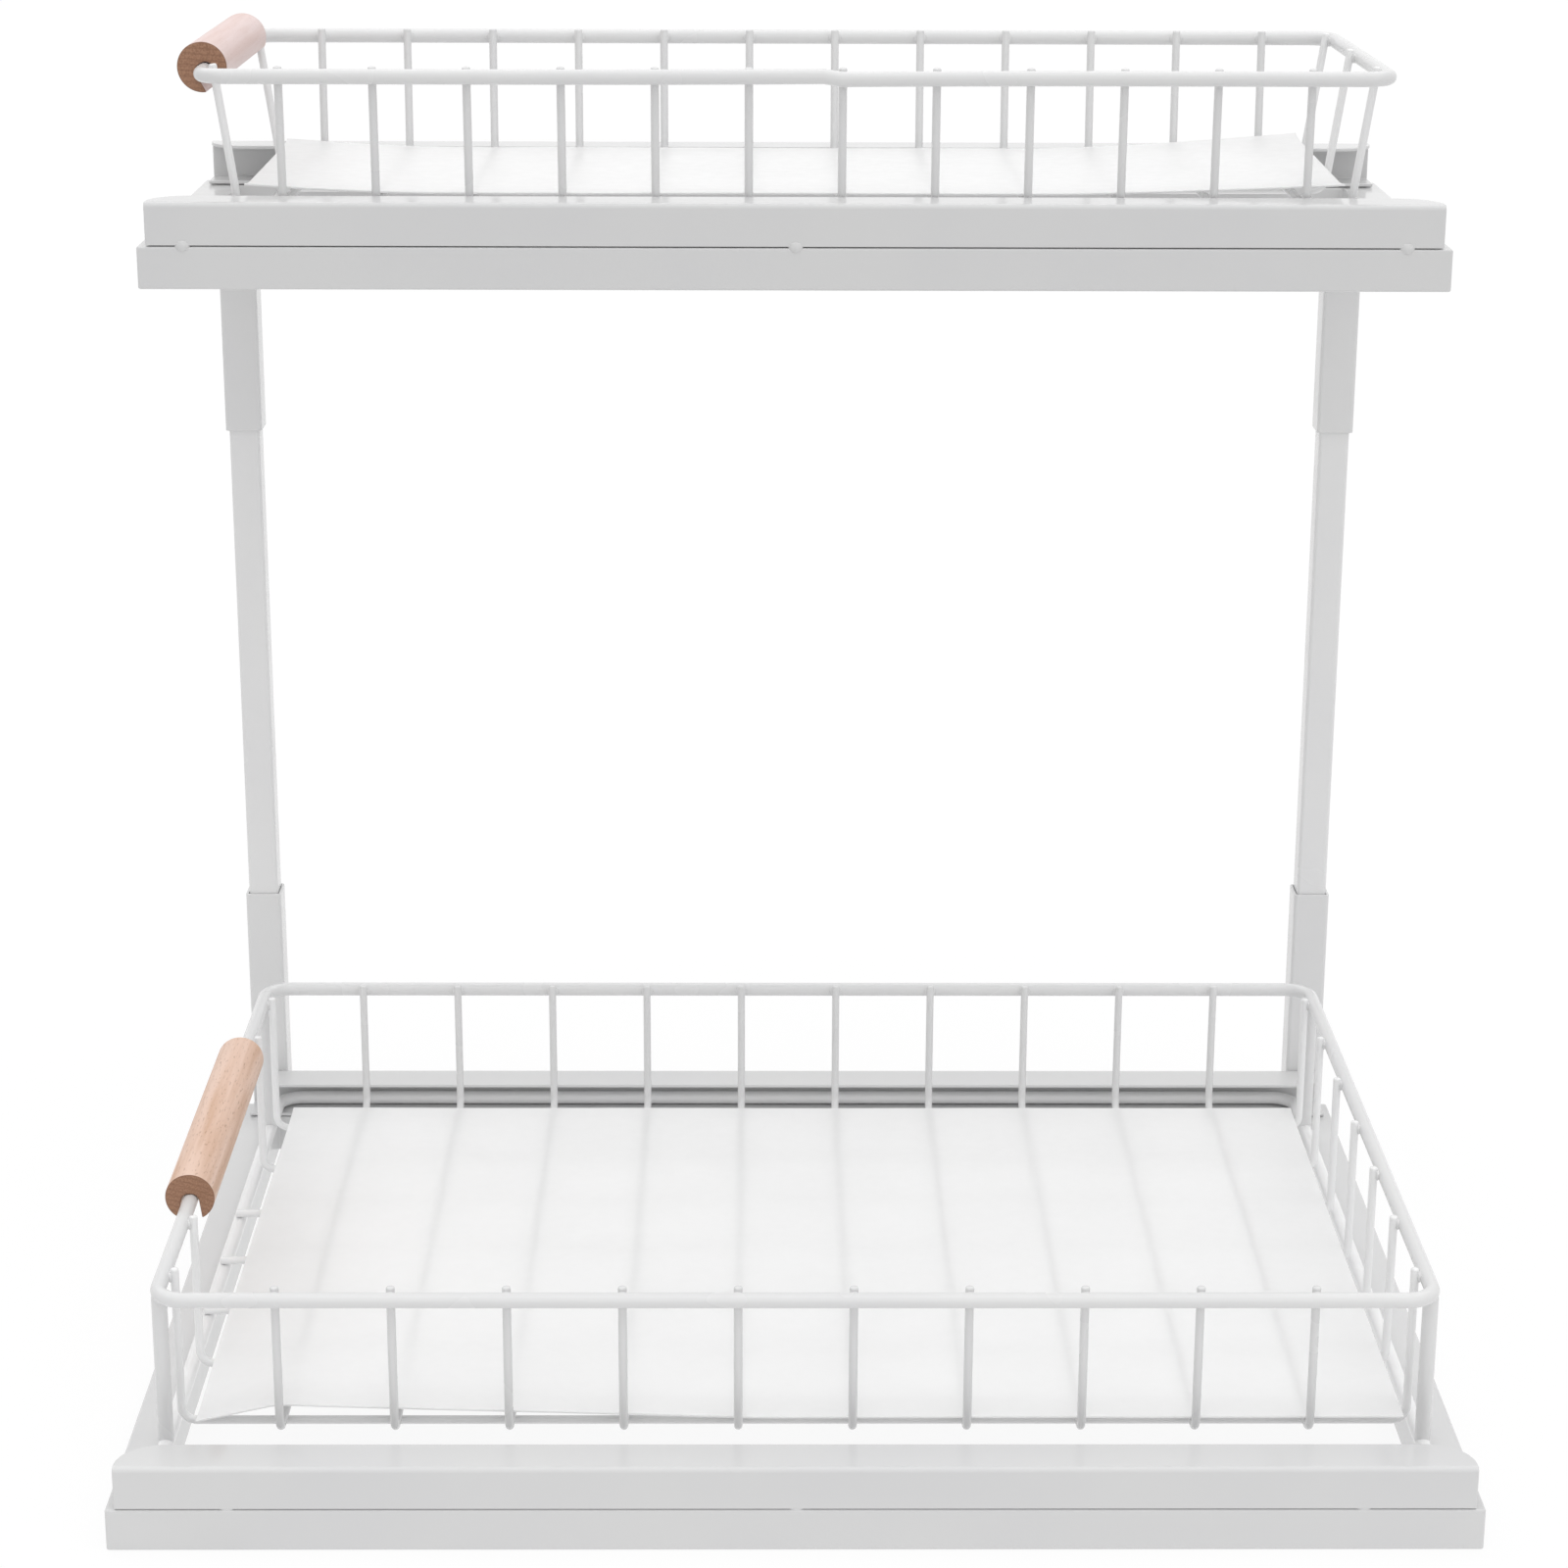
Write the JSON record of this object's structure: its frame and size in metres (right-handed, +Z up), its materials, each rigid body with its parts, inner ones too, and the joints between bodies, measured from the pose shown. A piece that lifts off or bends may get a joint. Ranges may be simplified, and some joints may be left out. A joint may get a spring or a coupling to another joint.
{
  "type": "under sink organizer",
  "caption": "Two-tier cabinet organizer: square-tube frame with rear posts, channel rails, and wire baskets with liner mats and wooden handles that slide out sideways.",
  "frame": {"origin": "on the floor, in the middle of the outline seen from above", "axes": "+Z up, -Y the open long side seen in the picture, -X the end with the handles, towards which the baskets slide out"},
  "size_m": [0.43, 0.3436, 0.4429],
  "materials": {
    "white_steel": "gloss",
    "liner_plastic": "satin",
    "beech": "satin"
  },
  "bodies": {
    "frame": {"left_post": "white_steel", "lower_back_rail": "white_steel", "lower_back_tube": "white_steel", "lower_front_rail": "white_steel", "lower_front_tube": "white_steel", "lower_left_sleeve": "white_steel", "lower_left_tube": "white_steel", "lower_right_sleeve": "white_steel", "lower_right_tube": "white_steel", "rail_welds": "white_steel", "right_post": "white_steel", "upper_back_rail": "white_steel", "upper_back_tube": "white_steel", "upper_front_rail": "white_steel", "upper_front_tube": "white_steel", "upper_left_sleeve": "white_steel", "upper_left_tube": "white_steel", "upper_right_sleeve": "white_steel", "upper_right_tube": "white_steel"},
    "lower_basket": {"lower_corner_posts": "white_steel", "lower_cross_wire_01": "white_steel", "lower_cross_wire_02": "white_steel", "lower_cross_wire_03": "white_steel", "lower_cross_wire_04": "white_steel", "lower_cross_wire_05": "white_steel", "lower_cross_wire_06": "white_steel", "lower_cross_wire_07": "white_steel", "lower_cross_wire_08": "white_steel", "lower_cross_wire_09": "white_steel", "lower_cross_wire_10": "white_steel", "lower_handle": "beech", "lower_long_wire_1": "white_steel", "lower_long_wire_2": "white_steel", "lower_long_wire_6": "white_steel", "lower_long_wire_7": "white_steel", "lower_mat": "liner_plastic", "lower_rim": "white_steel", "lower_runner": "white_steel", "lower_short_wire_3": "white_steel", "lower_short_wire_4": "white_steel", "lower_short_wire_5": "white_steel"},
    "upper_basket": {"upper_cross_wire_01": "white_steel", "upper_cross_wire_02": "white_steel", "upper_cross_wire_03": "white_steel", "upper_cross_wire_04": "white_steel", "upper_cross_wire_05": "white_steel", "upper_cross_wire_06": "white_steel", "upper_cross_wire_07": "white_steel", "upper_cross_wire_08": "white_steel", "upper_cross_wire_09": "white_steel", "upper_cross_wire_10": "white_steel", "upper_cross_wire_11": "white_steel", "upper_cross_wire_12": "white_steel", "upper_handle": "beech", "upper_long_wire_1": "white_steel", "upper_long_wire_3": "white_steel", "upper_mat": "liner_plastic", "upper_rim": "white_steel", "upper_runner": "white_steel", "upper_short_wire_2": "white_steel"}
  },
  "joints": [
    {"name": "lower_slide", "type": "slide", "parent": "frame", "child": "lower_basket", "axis": [-1, 0, 0], "range_m": [0, 0.25]},
    {"name": "upper_slide", "type": "slide", "parent": "frame", "child": "upper_basket", "axis": [-1, 0, 0], "range_m": [0, 0.25]}
  ]
}
